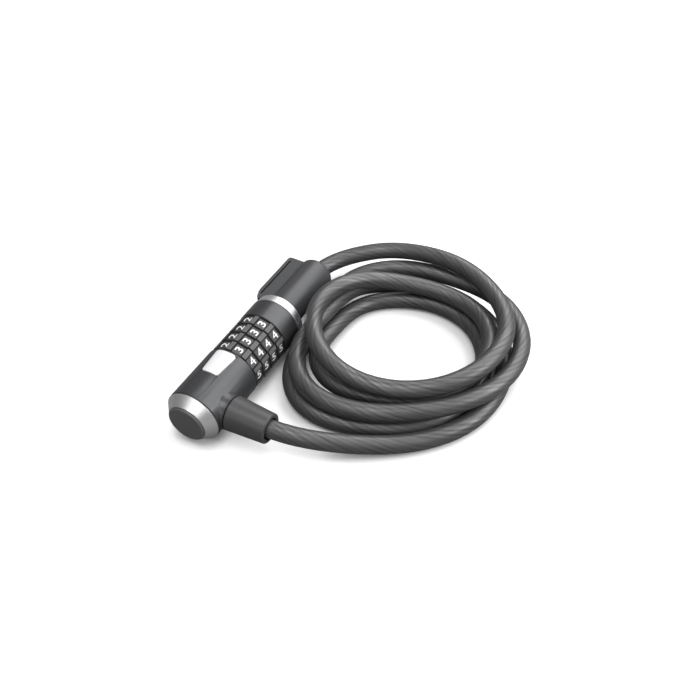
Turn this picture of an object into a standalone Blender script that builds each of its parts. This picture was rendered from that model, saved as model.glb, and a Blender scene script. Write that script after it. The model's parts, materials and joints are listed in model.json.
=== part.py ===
"""Four-dial combination lock closed on its own coiled cable, as separate solids.

Sizes are in millimetres and become metres where a mesh is made. Along the lock, every
station is a distance from the front face of the end cap.
"""

import math

import bmesh
import bpy
from mathutils import Matrix, Vector

MM = 0.001

# Fits
GAP = 0.3  # air between two pieces that touch in the real lock
THROUGH = 4.0  # how far a cutter runs past the wall that it cuts
EMPTY_SIZE = 10.0  # drawn size of the axis empties

# Barrel
BODY_R = 15.7
EDGE = 0.35  # broken edge on the turned pieces

# End cap and its cone ring
CAP_FACE_R = 10.3
CAP_RIM_R = 11.2
CAP_HEAD = 1.0
CAP_SPIGOT_R = 10.6
CAP_SPIGOT_IN_SHELL = 2.0
CAP_CUP_R = 8.2
CAP_FLOOR = 2.4
RING_FRONT_R = 11.5
RING_LENGTH = 5.7

# Body shell
SHELL_LENGTH = 35.6
CAVITY_R = 9.0
BULKHEAD = 11.9  # solid wall between the cavity and the dials

# Dials
DIALS = 4
DIGITS = 10
DIAL_PITCH = 7.5
CODE_LINE = 184.2  # degrees about the lock from +X towards +Z
WINDOW_APOTHEM = 14.9
BLOCK_ANGLE = 11.5  # degrees of raised block between two digit windows
DIAL_SPLINE_DEPTH = 1.1
DIAL_SPLINE_WIDTH = 2.2
KEY_WIDTH = 1.6

# Code sleeves, spacers and core
PIN_R = 3.0
CORE_WALL = 1.9
CODE_SLEEVE_WALL = 3.9
CODE_SLEEVE_LENGTH = 4.6
CORE_FLANGE_R = 8.4
CORE_FLANGE = 2.0
CORE_NOSE_BACK = 0.7  # how far the core stops short of the housing's front face
LUG_WIDTH = 1.4
LUG_DEPTH = 0.6
SCALLOP_R = 0.7
STRIP_WIDTH = 2.2
STRIP_THICKNESS = 0.35
STRIP_BUMP = 0.3
STRIP_BUMP_HALF = 1.2
STRIP_BUMP_STEPS = 8
STRIP_GROOVE_DEPTH = 0.8
STRIP_OVERHANG = 3.3  # how far the detent strip runs past the outer dial centres
SPRING_THICKNESS = 0.4
SPRING_WAVE = 0.25
SPRING_WAVES = 3
SPRING_OPENING = 40.0  # degrees left open for the teeth
CLIP_THICKNESS = 0.8
CLIP_R = 7.6
CLIP_GROOVE_DEPTH = 0.8
CLIP_OPENING = 6.0
CLIP_POCKET = 3.4

# Teeth on the plug's pin
TOOTH_R = 7.2
TOOTH_WIDTH = 2.6
TOOTH_LENGTH = 1.8
PIN_NOSE = 3.0  # smooth nose ahead of the first tooth
PIN_CHAMFER = 0.9

# Front housing and name plate
HOUSING_LENGTH = 13.5
MARK_WIDTH = 0.8
MARK_LENGTH = 1.8
MARK_DEPTH = 0.35
PLATE_TO_DIALS = 1.4
PLATE_LENGTH = 16.5
PLATE_ANGLE = 92.0
PLATE_WIDE = 12.0
PLATE_NARROW = 9.8
PLATE_PROUD = 0.4
PLATE_SEAT = 0.6
PLATE_CORNER = 1.6
PLATE_DEPTH = 6.0

# Front ring and plug
COLLAR_LENGTH = 5.7
COLLAR_TAPER = 0.7
PLUG_R = 10.5
PLUG_LENGTH = 43.5
PLUG_END_ROUND = 2.3
FERRULE_R = 7.0
FERRULE_EDGE = 0.6
PIN_IN_FERRULE = 11.0
CROSS_PIN_R = 1.0
CROSS_PIN_STATION = 5.7  # from the ferrule's front face
CABLE_HOLE_R = 5.77
MOUTH = 0.5  # broken edge where the cable goes in
CABLE_SEAT_IN_PLUG = 6.0

# Rail for a frame clip, on the side of the plug away from the branch
RAIL_OUT = 19.5
RAIL_ROOT = 9.2
RAIL_WIDTH = 10.0
RAIL_LENGTH = 42.0
RAIL_FLAT_LENGTH = 38.0
RAIL_RAMP = 10.0
RAIL_RAMP_DROP = 1.7
RAIL_NOSE_ROUND = 1.6
RAIL_LIP = 2.0
RAIL_GROOVE = 1.0
RAIL_GROOVE_DEPTH = 0.9
RAIL_GROOVE_START = 5.0
RAIL_GROOVE_LENGTH = 31.0

# Branch that anchors the cable
BRANCH_STATION = 18.2
BOSS_END = 16.75
BOSS_R = 9.7
BOSS_FLARE = 1.8
BOSS_FLARE_LENGTH = 4.4
BOSS_RIM = 0.6  # straight rim outside the flare
BOSS_ROOT = 2.0  # distance from the axis where the boss starts, inside the barrel
BRANCH_END = 39.85
BRANCH_TIP_R = 8.34
BRANCH_LIP = 0.9
CABLE_SEAT_IN_BRANCH = 6.85
ANCHOR_PIN_R = 1.5
FERRULE_TAIL = 4.8  # how far the ferrule runs past the lock's axis

# Cable
CABLE_R = 5.0
COIL_X = 74.0  # centre of the coil, from the lock's axis
COIL_STATION = 107.0  # and from the cap
COIL_STEP = 30  # degrees between two stations of a turn
COIL_FIRST = 300
POINTS_PER_TURN = 14
TAIL_STATION = 58.0  # where the cable is split, counted in stations
SPLIT_STUB = 0.08  # a short last stretch keeps the two faces of the split square

# Stations along the lock
SHELL_START = CAP_HEAD + RING_LENGTH + 2 * GAP
SHELL_END = SHELL_START + SHELL_LENGTH
DIAL_WIDTH = DIAL_PITCH - GAP
FIRST_DIAL = SHELL_END + GAP + DIAL_WIDTH / 2
HOUSING_START = SHELL_END + GAP + DIALS * DIAL_PITCH
HOUSING_END = HOUSING_START + HOUSING_LENGTH
COLLAR_START = HOUSING_END + GAP
PLUG_START = COLLAR_START + COLLAR_LENGTH + GAP
LENGTH = PLUG_START + PLUG_LENGTH
CAVITY_START = SHELL_START + CAP_SPIGOT_IN_SHELL + GAP
BULKHEAD_START = SHELL_END - BULKHEAD
PLATE_END = SHELL_END - PLATE_TO_DIALS
PLATE_START = PLATE_END - PLATE_LENGTH
SPACER_THICKNESS = DIAL_PITCH - CODE_SLEEVE_LENGTH - 2 * GAP
FERRULE_END = LENGTH - CABLE_SEAT_IN_PLUG - GAP
BRANCH_SEAT = BRANCH_END - CABLE_SEAT_IN_BRANCH
CLIP_STATION = HOUSING_END - CLIP_POCKET + GAP

# Radii that follow from the fits
CORE_BORE_R = PIN_R + GAP
CORE_R = CORE_BORE_R + CORE_WALL
CODE_SLEEVE_BORE_R = CORE_R + GAP
CODE_SLEEVE_R = CODE_SLEEVE_BORE_R + CODE_SLEEVE_WALL
DIAL_BORE_R = CODE_SLEEVE_R + GAP
SLOT_R = TOOTH_R + GAP
SLOT_WIDTH = TOOTH_WIDTH + 2 * GAP
FERRULE_BORE_R = FERRULE_R + GAP
CAP_BORE_R = CAP_SPIGOT_R + GAP

# The lock's place: its own box is centred on the origin and stands on the ground
AXIS_X = (RAIL_OUT - BRANCH_END) / 2
AXIS_Y = -LENGTH / 2
AXIS_Z = BODY_R

# Radius and height of the coil's stations, a turn to a row
COIL_RADII = (
    (64.0, 61.2, 58.3, 59.5, 60.7, 61.4, 61.1, 59.2, 50.9, 64.2, 68.8, 59.3),
    (51.6, 53.5, 61.5, 69.6, 71.6, 66.1, 70.2, 73.9, 53.7, 67.1, 74.3, 60.6),
    (53.2, 50.0, 46.2, 46.9, 49.3, 49.8, 49.4, 51.6, 45.9, 53.8, 51.5, 41.1),
    (41.2, 42.9, 45.9, 50.2, 52.4, 50.3, 50.7, 54.1, 56.8, 54.3, 49.1, 43.7),
    (42.2, 45.5, 51.1, 58.8, 62.0, 67.4, 78.1),
)
COIL_HEIGHTS = (
    (4.7, 5.2, 5.0, 5.1, 5.5, 4.6, 6.7, 14.5, 16.5, 15.6, 14.7, 15.3),
    (15.4, 15.5, 15.3, 15.1, 15.2, 14.1, 15.1, 8.8, 4.3, 5.6, 5.1, 5.0),
    (5.1, 5.0, 5.0, 5.1, 5.0, 5.0, 5.2, 4.7, 7.6, 9.0, 9.7, 9.8),
    (10.8, 13.6, 16.2, 15.9, 15.3, 15.2, 17.1, 24.9, 27.4, 25.5, 22.6, 21.1),
    (21.6, 23.9, 25.5, 25.5, 26.0, 27.5, 20.7),
)
FROM_BRANCH = (
    (27.0, 18.2, 15.7),
    (33.0, 18.2, 15.7),
    (39.0, 18.2, 15.7),
    (46.0, 19.2, 15.2),
    (54.3, 21.5, 13.9),
    (65.1, 26.1, 11.7),
    (81.4, 35.5, 7.8),
)
TO_PLUG = (
    (17.4, 163.8, 17.9),
    (8.9, 155.5, 16.8),
    (4.0, 148.4, 16.2),
    (1.3, 142.0, 15.8),
    (0.0, 136.0, 15.7),
    (0.0, 130.5, 15.7),
    (0.0, 125.0, 15.7),
)

# Facets round a turned piece
FACETS = 40
SMALL_FACETS = 24
PIN_FACETS = 16
ARC_STEPS = 4

SMOKE = (0.13, 0.13, 0.14)
GREY_PAINT = (0.16, 0.16, 0.17)
DARK_GREY = (0.10, 0.10, 0.11)
SILVER = (0.80, 0.80, 0.80)
STEEL = (0.55, 0.55, 0.56)
BRASS = (0.55, 0.42, 0.18)
WHITE = (0.85, 0.85, 0.85)


def clear_scene():
    for obj in list(bpy.data.objects):
        bpy.data.objects.remove(obj, do_unlink=True)


def new_collection(name):
    collection = bpy.data.collections.new(name)
    bpy.context.scene.collection.children.link(collection)
    return collection


def make_material(name, colour, metallic, roughness):
    material = bpy.data.materials.new(name)
    material.use_nodes = True
    shader = material.node_tree.nodes["Principled BSDF"]
    shader.inputs["Base Color"].default_value = (*colour, 1.0)
    shader.inputs["Metallic"].default_value = metallic
    shader.inputs["Roughness"].default_value = roughness
    return material


def add_empty(name, matrix):
    empty = bpy.data.objects.new(name, None)
    empty.empty_display_size = EMPTY_SIZE * MM
    empty.matrix_world = matrix
    PARTS.objects.link(empty)
    return empty


def add_object(name, data, parent, place=None, cutter=False):
    obj = bpy.data.objects.new(name, data)
    obj.parent = parent
    if place is not None:
        obj.matrix_local = place
    if cutter:
        CUTTERS.objects.link(obj)
        obj.hide_render = True
        obj.display_type = "WIRE"
    else:
        PARTS.objects.link(obj)
    return obj


def paint(obj, colour, metallic, roughness):
    obj.data.materials.clear()
    obj.data.materials.append(make_material(obj.name, colour, metallic, roughness))
    return obj


def turned(name, profile, parent, steps=FACETS, place=None, cutter=False, closed=True):
    """Spin a profile of (radius, station) points about the parent's Z axis."""
    mesh = bpy.data.meshes.new(name)
    verts = [(r * MM, 0.0, z * MM) for r, z in profile]
    edges = [(i, i + 1) for i in range(len(verts) - 1)]
    if closed:
        edges.append((len(verts) - 1, 0))
    mesh.from_pydata(verts, edges, [])
    obj = add_object(name, mesh, parent, place, cutter)
    screw = obj.modifiers.new("turn", "SCREW")
    screw.axis = "Z"
    screw.angle = math.tau
    screw.steps = steps
    screw.render_steps = steps
    screw.use_merge_vertices = True
    screw.merge_threshold = 0.00001
    screw.use_smooth_shade = True
    return obj


def solid_rod(radius, start, end, edge=0.0):
    """Profile of a rod, from the axis at its far end to the axis at its near end."""
    return [
        (0.0, end),
        (radius - edge, end),
        (radius, end - edge),
        (radius, start + edge),
        (radius - edge, start),
        (0.0, start),
    ]


def rod_cutter(name, radius, start, end, parent, steps=FACETS, place=None):
    profile = [(0.0, end), (radius, end), (radius, start), (0.0, start)]
    return turned(name, profile, parent, steps, place, cutter=True, closed=False)


def ring_profile(inner, outer, start, end, edge=0.0):
    return [
        (inner, end),
        (outer - edge, end),
        (outer, end - edge),
        (outer, start + edge),
        (outer - edge, start),
        (inner, start),
    ]


def without_repeats(profile):
    kept = [profile[0]]
    for point in profile[1:]:
        if math.dist(point, kept[-1]) > 1e-6:
            kept.append(point)
    return kept


def arc(centre, radius, first, last, count):
    """Points of an arc in (radius, station), angles in degrees from the radial axis."""
    points = []
    for i in range(count + 1):
        angle = math.radians(first + (last - first) * i / count)
        r = centre[0] + radius * math.cos(angle)
        z = centre[1] + radius * math.sin(angle)
        points.append((r, z))
    return points


def about(angle):
    """Turn about the lock's axis; the angle runs from +X towards +Z."""
    return Matrix.Rotation(math.radians(-angle), 4, "Z")


def box_mesh(name, boxes):
    """One mesh of boxes, each ((low x, y, z), (high x, y, z), turn matrix)."""
    mesh = bpy.data.meshes.new(name)
    work = bmesh.new()
    for low, high, turn in boxes:
        size = [h - l for l, h in zip(low, high)]
        middle = [(h + l) / 2 for l, h in zip(low, high)]
        place = turn @ Matrix.Translation(Vector(middle) * MM)
        place = place @ Matrix.Diagonal((*[s * MM for s in size], 1.0))
        bmesh.ops.create_cube(work, size=1.0, matrix=place)
    work.to_mesh(mesh)
    work.free()
    return mesh


def boxes(name, parts, parent, cutter=True):
    return add_object(name, box_mesh(name, parts), parent, cutter=cutter)


def radial_box(inner, outer, width, start, end, angle):
    """A box from one radius to another at an angle about the axis."""
    low = (inner, -width / 2, start)
    high = (outer, width / 2, end)
    return (low, high, about(angle))


def combine(obj, other, operation):
    modifier = obj.modifiers.new(other.name, "BOOLEAN")
    modifier.operation = operation
    modifier.solver = "EXACT"
    modifier.object = other
    return obj


def cut(obj, other):
    return combine(obj, other, "DIFFERENCE")


def join(obj, other):
    return combine(obj, other, "UNION")


def baked_mesh(obj, name):
    """The evaluated mesh of an object, with its modifiers applied."""
    bpy.context.view_layer.update()
    graph = bpy.context.evaluated_depsgraph_get()
    mesh = bpy.data.meshes.new_from_object(obj.evaluated_get(graph))
    mesh.name = name
    return mesh


def smooth(obj):
    obj.data.shade_smooth()
    obj.data.set_sharp_from_angle(angle=math.radians(35))
    return obj


def outline_cutter(name, points, half_depth, parent, place, as_cutter=True):
    """A flat outline in the local XY plane, given depth both ways, as a closed mesh."""
    curve = bpy.data.curves.new(name, "CURVE")
    curve.dimensions = "2D"
    curve.fill_mode = "BOTH"
    curve.extrude = half_depth * MM
    spline = curve.splines.new("POLY")
    spline.points.add(len(points) - 1)
    for target, (x, y) in zip(spline.points, points):
        target.co = (x * MM, y * MM, 0.0, 1.0)
    spline.use_cyclic_u = True
    source = add_object(name + "_curve", curve, parent, place, cutter=True)
    mesh = baked_mesh(source, name)
    work = bmesh.new()
    work.from_mesh(mesh)
    bmesh.ops.remove_doubles(work, verts=work.verts, dist=0.000001)
    bmesh.ops.recalc_face_normals(work, faces=work.faces)
    work.to_mesh(mesh)
    work.free()
    bpy.data.objects.remove(source, do_unlink=True)
    return add_object(name, mesh, parent, place, cutter=as_cutter)


# Pieces of the barrel


def end_cap():
    profile = [
        (0.0, CAP_FLOOR),
        (CAP_CUP_R, CAP_FLOOR),
        (CAP_CUP_R, SHELL_START + CAP_SPIGOT_IN_SHELL),
        (CAP_SPIGOT_R, SHELL_START + CAP_SPIGOT_IN_SHELL),
        (CAP_SPIGOT_R, CAP_HEAD),
        (CAP_RIM_R, CAP_HEAD),
        (CAP_FACE_R, 0.0),
        (0.0, 0.0),
    ]
    cap = turned("end_cap", profile, LOCK, closed=False)
    return paint(cap, DARK_GREY, 0.3, 0.45)


def end_ring():
    start = CAP_HEAD + GAP
    end = start + RING_LENGTH
    profile = [
        (CAP_BORE_R, end),
        (BODY_R - EDGE, end),
        (BODY_R, end - EDGE),
        (RING_FRONT_R, start + EDGE),
        (RING_FRONT_R - EDGE / 2, start),
        (CAP_BORE_R, start),
    ]
    ring = turned("end_ring", profile, LOCK)
    return paint(ring, SILVER, 1.0, 0.25)


def boss_profile():
    """Round boss whose foot flares into the barrel."""
    flare = min(BOSS_FLARE, BRANCH_STATION - BOSS_R - SHELL_START - EDGE)
    points = [(0.0, BOSS_END), (BOSS_R, BOSS_END)]
    for i in range(ARC_STEPS + 1):
        t = i / ARC_STEPS
        station = BOSS_END - BOSS_RIM - BOSS_FLARE_LENGTH * t
        points.append((BOSS_R + flare * (1 - math.cos(t * math.pi / 2)), station))
    points.append((BOSS_R, BOSS_ROOT))
    points.append((0.0, BOSS_ROOT))
    return points


def plate_outline(grow):
    """Trapezoid with round corners, wide at the dials; x runs along the lock."""
    start = PLATE_START - grow
    end = PLATE_END + grow
    narrow = PLATE_NARROW / 2 + grow
    wide = PLATE_WIDE / 2 + grow
    corner = PLATE_CORNER
    points = []
    corners = ((end, wide), (start, narrow), (start, -narrow), (end, -wide))
    for index, (x, y) in enumerate(corners):
        cx = x - corner if x == end else x + corner
        cy = y - corner if y > 0 else y + corner
        for i in range(ARC_STEPS + 1):
            angle = math.pi / 2 * (index + i / ARC_STEPS)
            points.append((cx + corner * math.cos(angle), cy + corner * math.sin(angle)))
    return points


def plate_place():
    """Outline plane square to the plate's radius, x along the lock, z outwards."""
    along = Matrix(((0, 0, 1, 0), (0, 1, 0, 0), (1, 0, 0, 0), (0, 0, 0, 1)))
    flip = Matrix.Diagonal((1, -1, 1, 1))
    return about(PLATE_ANGLE) @ Matrix.Translation((BODY_R * MM, 0, 0)) @ along @ flip


def index_mark(name, start):
    mark = radial_box(BODY_R - MARK_DEPTH, BODY_R + 1, MARK_WIDTH, start, start + MARK_LENGTH, CODE_LINE)
    return boxes(name, [mark], LOCK)


def body_shell():
    shell = turned("body_shell", solid_rod(BODY_R, SHELL_START, SHELL_END, EDGE), LOCK, closed=False)
    boss = turned("boss", boss_profile(), BRANCH, closed=False, cutter=True)
    inside = [
        (0.0, SHELL_END + THROUGH),
        (DIAL_BORE_R, SHELL_END + THROUGH),
        (DIAL_BORE_R, spacer_start(0) - GAP),
        (CODE_SLEEVE_BORE_R, spacer_start(0) - GAP),
        (CODE_SLEEVE_BORE_R, BULKHEAD_START),
        (CAVITY_R, BULKHEAD_START),
        (CAVITY_R, CAVITY_START),
        (CAP_BORE_R, CAVITY_START),
        (CAP_BORE_R, SHELL_START - THROUGH),
        (0.0, SHELL_START - THROUGH),
    ]
    bore = turned("shell_bore", inside, LOCK, SMALL_FACETS, closed=False, cutter=True)
    branch_bore = rod_cutter("branch_bore", FERRULE_BORE_R, BOSS_ROOT / 2, BOSS_END + THROUGH, BRANCH)
    pocket = plate_skin("plate_pocket", BODY_R - PLATE_SEAT - GAP, BODY_R + THROUGH, GAP, True)
    join(shell, boss)
    cut(shell, bore)
    cut(shell, branch_bore)
    cut(shell, pocket)
    cut(shell, index_mark("shell_mark", SHELL_END - MARK_LENGTH))
    return paint(shell, GREY_PAINT, 0.6, 0.4)


def plate_skin(name, inner, outer, grow, cutter=False):
    """The plate's outline, lifted out of a shell that follows the barrel."""
    start = PLATE_START - THROUGH
    end = PLATE_END + THROUGH
    skin = turned(name, ring_profile(inner, outer, start, end), LOCK, cutter=cutter)
    outline = outline_cutter(name + "_outline", plate_outline(grow), PLATE_DEPTH, LOCK, plate_place())
    return combine(skin, outline, "INTERSECT")


def name_plate():
    """Bare plate that follows the barrel, standing a little proud of it."""
    plate = plate_skin("name_plate", BODY_R - PLATE_SEAT, BODY_R + PLATE_PROUD, 0.0)
    return paint(plate, WHITE, 0.4, 0.35)


def front_housing():
    housing = turned(
        "front_housing", solid_rod(BODY_R, HOUSING_START, HOUSING_END, EDGE), LOCK, closed=False
    )
    inside = [
        (0.0, HOUSING_END + THROUGH),
        (CLIP_R + 2 * GAP, HOUSING_END + THROUGH),
        (CLIP_R + 2 * GAP, HOUSING_END - CLIP_POCKET),
        (CODE_SLEEVE_BORE_R, HOUSING_END - CLIP_POCKET),
        (CODE_SLEEVE_BORE_R, spring_start() + SPRING_THICKNESS + 2 * SPRING_WAVE + GAP),
        (DIAL_BORE_R, spring_start() + SPRING_THICKNESS + 2 * SPRING_WAVE + GAP),
        (DIAL_BORE_R, HOUSING_START - THROUGH),
        (0.0, HOUSING_START - THROUGH),
    ]
    bore = turned("housing_bore", inside, LOCK, SMALL_FACETS, closed=False, cutter=True)
    slot = radial_box(0, SLOT_R, SLOT_WIDTH, HOUSING_START - THROUGH, HOUSING_END + THROUGH, CODE_LINE)
    cut(housing, bore)
    cut(housing, boxes("housing_slot", [slot], LOCK))
    cut(housing, index_mark("housing_mark", HOUSING_START))
    return paint(housing, GREY_PAINT, 0.6, 0.4)


# Pieces inside the dials


def dial_station(index):
    return FIRST_DIAL + index * DIAL_PITCH


def code_sleeve_start(index):
    return dial_station(index) - CODE_SLEEVE_LENGTH / 2


def spacer_start(index):
    return code_sleeve_start(index) - GAP - SPACER_THICKNESS


def spring_start():
    return spacer_start(DIALS) + SPACER_THICKNESS + GAP


def tooth_station(index):
    return spacer_start(index) + SPACER_THICKNESS / 2


def core_tube():
    """Keyed tube that carries the code sleeves and guides the pin."""
    start = BULKHEAD_START - GAP - CORE_FLANGE
    end = HOUSING_END - CORE_NOSE_BACK
    groove_r = CORE_R - CLIP_GROOVE_DEPTH
    profile = [
        (CORE_BORE_R, end),
        (CORE_R, end),
        (CORE_R, CLIP_STATION + CLIP_THICKNESS + GAP),
        (groove_r, CLIP_STATION + CLIP_THICKNESS + GAP),
        (groove_r, CLIP_STATION - GAP),
        (CORE_R, CLIP_STATION - GAP),
        (CORE_R, start + CORE_FLANGE),
        (CORE_FLANGE_R, start + CORE_FLANGE),
        (CORE_FLANGE_R, start),
        (CORE_BORE_R, start),
    ]
    core = turned("core_tube", profile, LOCK, steps=SMALL_FACETS)
    slot_start = tooth_station(0) - TOOTH_LENGTH / 2 - GAP
    past = end + THROUGH
    strip_start, strip_end = strip_span()
    strip_width = STRIP_WIDTH + 2 * GAP
    lug_width = LUG_WIDTH + 2 * GAP
    strip_floor = CORE_R - STRIP_GROOVE_DEPTH
    slots = [
        radial_box(0, CORE_R + 1, SLOT_WIDTH, slot_start, past, CODE_LINE),
        radial_box(CORE_R - LUG_DEPTH, CORE_R + 1, lug_width, spacer_start(0) - GAP, past, 0),
        radial_box(strip_floor, CORE_R + 1, strip_width, strip_start - GAP, strip_end + GAP, 90),
    ]
    cut(core, boxes("core_slots", slots, LOCK))
    return paint(core, BRASS, 1.0, 0.35)


def strip_span():
    return FIRST_DIAL - STRIP_OVERHANG, dial_station(DIALS - 1) + STRIP_OVERHANG


def detent_strip():
    """Leaf with one bump under each dial, in a flat groove of the core."""
    start, end = strip_span()
    floor = CORE_R - STRIP_GROOVE_DEPTH + GAP
    top = floor + STRIP_THICKNESS
    outline = [(start, floor), (end, floor), (end, top)]
    for index in reversed(range(DIALS)):
        middle = dial_station(index)
        for i in range(STRIP_BUMP_STEPS + 1):
            t = 1 - 2 * i / STRIP_BUMP_STEPS
            rise = STRIP_BUMP * (1 + math.cos(math.pi * t)) / 2
            outline.append((middle + STRIP_BUMP_HALF * t, top + rise))
    outline.append((start, top))
    along = Matrix(((0, 1, 0, 0), (0, 0, 1, 0), (1, 0, 0, 0), (0, 0, 0, 1)))
    place = about(90) @ along
    strip = outline_cutter("detent_strip", outline, STRIP_WIDTH / 2, LOCK, place, as_cutter=False)
    return paint(strip, STEEL, 1.0, 0.3)


def dial_mesh():
    """Ring with ten flat digit windows between raised blocks, and ten keyways inside."""
    half = DIAL_WIDTH / 2
    blank = turned("dial_blank", ring_profile(DIAL_BORE_R, BODY_R, -half, half, EDGE), LOCK, cutter=True)
    pitch = 360 / DIGITS
    window = 2 * WINDOW_APOTHEM * math.tan(math.radians((pitch - BLOCK_ANGLE) / 2))
    keyway_r = DIAL_BORE_R + DIAL_SPLINE_DEPTH
    windows = []
    keyways = []
    for digit in range(DIGITS):
        angle = CODE_LINE + pitch * digit
        windows.append(radial_box(WINDOW_APOTHEM, BODY_R + 2, window, -half - 1, half + 1, angle))
        keyways.append(radial_box(DIAL_BORE_R - 1, keyway_r, DIAL_SPLINE_WIDTH, -half - 1, half + 1, angle))
    window_cutter = boxes("dial_windows", windows, LOCK)
    keyway_cutter = boxes("dial_keyways", keyways, LOCK)
    cut(blank, window_cutter)
    cut(blank, keyway_cutter)
    mesh = baked_mesh(blank, "dial")
    for used in (blank, window_cutter, keyway_cutter):
        bpy.data.objects.remove(used, do_unlink=True)
    return mesh


def code_sleeve_mesh():
    """Ring with one gate for the tooth, ten scallops for the detent and a key for its dial."""
    half = CODE_SLEEVE_LENGTH / 2
    profile = ring_profile(CODE_SLEEVE_BORE_R, CODE_SLEEVE_R, -half, half)
    blank = turned("sleeve_blank", without_repeats(profile), LOCK, SMALL_FACETS, cutter=True)
    key_r = DIAL_BORE_R + DIAL_SPLINE_DEPTH - GAP
    key = radial_box(CODE_SLEEVE_R - 1, key_r, KEY_WIDTH, -half, half, CODE_LINE + 180)
    key_box = boxes("sleeve_key", [key], LOCK)
    gate = radial_box(0, SLOT_R, SLOT_WIDTH, -half - 1, half + 1, CODE_LINE)
    gate_box = boxes("sleeve_gate", [gate], LOCK)
    join(blank, key_box)
    cut(blank, gate_box)
    used = [blank, key_box, gate_box]
    for digit in range(DIGITS):
        place = about(90 + 360 / DIGITS * digit)
        place = place @ Matrix.Translation((CODE_SLEEVE_BORE_R * MM, 0, 0))
        scallop = rod_cutter("scallop", SCALLOP_R, -half - 1, half + 1, LOCK, 8, place)
        cut(blank, scallop)
        used.append(scallop)
    mesh = baked_mesh(blank, "code_sleeve")
    for obj in used:
        bpy.data.objects.remove(obj, do_unlink=True)
    return mesh


def spacer_mesh():
    """Fixed ring between two code sleeves, open for the tooth and keyed to the core."""
    profile = ring_profile(CODE_SLEEVE_BORE_R, CODE_SLEEVE_R, 0, SPACER_THICKNESS)
    blank = turned("spacer_blank", without_repeats(profile), LOCK, SMALL_FACETS, cutter=True)
    lug_r = CORE_R - LUG_DEPTH + GAP
    lug = radial_box(lug_r, CODE_SLEEVE_BORE_R + 1, LUG_WIDTH, 0, SPACER_THICKNESS, 0)
    lug_box = boxes("spacer_lug", [lug], LOCK)
    slot = radial_box(0, SLOT_R, SLOT_WIDTH, -1, SPACER_THICKNESS + 1, CODE_LINE)
    slot_box = boxes("spacer_slot", [slot], LOCK)
    join(blank, lug_box)
    cut(blank, slot_box)
    mesh = baked_mesh(blank, "spacer_ring")
    for obj in (blank, lug_box, slot_box):
        bpy.data.objects.remove(obj, do_unlink=True)
    return mesh


def dials_and_sleeves():
    dial = dial_mesh()
    sleeve = code_sleeve_mesh()
    for index in range(DIALS):
        number = str(index + 1)
        shift = Matrix.Translation((0, 0, dial_station(index) * MM))
        hub = add_empty("dial_axis_" + number, LOCK.matrix_world @ shift)
        ring = add_object("dial_" + number, dial.copy(), hub)
        paint(smooth(ring), DARK_GREY, 0.3, 0.45)
        core = add_object("code_sleeve_" + number, sleeve.copy(), hub)
        paint(smooth(core), BRASS, 1.0, 0.4)


def spacers():
    mesh = spacer_mesh()
    for index in range(DIALS + 1):
        place = Matrix.Translation((0, 0, spacer_start(index) * MM))
        ring = add_object("spacer_ring_" + str(index + 1), mesh.copy(), LOCK, place)
        paint(smooth(ring), STEEL, 1.0, 0.35)


def open_ring(name, inner, outer, start, thickness, opening, wave=0.0):
    """Flat ring spun part of the way round, left open at the code line."""
    mesh = bpy.data.meshes.new(name)
    work = bmesh.new()
    corners = ((inner, 0), (outer, 0), (outer, thickness), (inner, thickness))
    first = about(CODE_LINE + opening / 2)
    section = [work.verts.new(first @ Vector((r * MM, 0, z * MM))) for r, z in corners]
    face = work.faces.new(section)
    steps = SMALL_FACETS
    angle = math.radians(opening - 360)
    bmesh.ops.spin(
        work,
        geom=[face, *face.edges, *face.verts],
        cent=(0, 0, 0),
        axis=(0, 0, 1),
        angle=angle,
        steps=steps,
        use_duplicate=False,
    )
    bmesh.ops.remove_doubles(work, verts=work.verts, dist=0.000001)
    bmesh.ops.recalc_face_normals(work, faces=work.faces)
    for vert in work.verts:
        turn = math.atan2(vert.co.y, vert.co.x)
        vert.co.z += wave * MM * (1 + math.sin(SPRING_WAVES * turn))
    work.to_mesh(mesh)
    work.free()
    place = Matrix.Translation((0, 0, start * MM))
    return add_object(name, mesh, LOCK, place)


def wave_spring():
    inner = CODE_SLEEVE_BORE_R + GAP
    outer = CODE_SLEEVE_R - GAP
    spring = open_ring(
        "wave_spring", inner, outer, spring_start(), SPRING_THICKNESS, SPRING_OPENING, SPRING_WAVE
    )
    return paint(smooth(spring), STEEL, 1.0, 0.3)


def retaining_clip():
    inner = CORE_R - CLIP_GROOVE_DEPTH + GAP
    opening = 2 * math.degrees(math.asin(CLIP_OPENING / 2 / inner))
    clip = open_ring("retaining_clip", inner, CLIP_R, CLIP_STATION, CLIP_THICKNESS, opening)
    return paint(smooth(clip), STEEL, 1.0, 0.3)


# Plug


def plug_pin():
    """Steel pin with one tooth for each dial."""
    start = tooth_station(0) - PIN_NOSE
    end = PLUG_START + GAP + PIN_IN_FERRULE
    pin = turned("plug_pin", solid_rod(PIN_R, start, end, PIN_CHAMFER), PLUG, SMALL_FACETS, closed=False)
    half = TOOTH_LENGTH / 2
    teeth = []
    for index in range(DIALS):
        station = tooth_station(index)
        teeth.append(radial_box(1.0, TOOTH_R, TOOTH_WIDTH, station - half, station + half, CODE_LINE))
    join(pin, boxes("pin_teeth", teeth, PLUG))
    cut(pin, cross_hole("pin_cross_hole"))
    return paint(pin, STEEL, 1.0, 0.25)


def cross_station():
    return PLUG_START + GAP + CROSS_PIN_STATION


def across_place(station):
    """Place for a rod that crosses the lock's axis along X."""
    turn = Matrix.Rotation(math.radians(90), 4, "Y")
    return Matrix.Translation((0, 0, station * MM)) @ turn


def cross_hole(name):
    reach = FERRULE_R + THROUGH
    place = across_place(cross_station())
    return rod_cutter(name, CROSS_PIN_R + GAP, -reach, reach, PLUG, PIN_FACETS, place)


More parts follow.
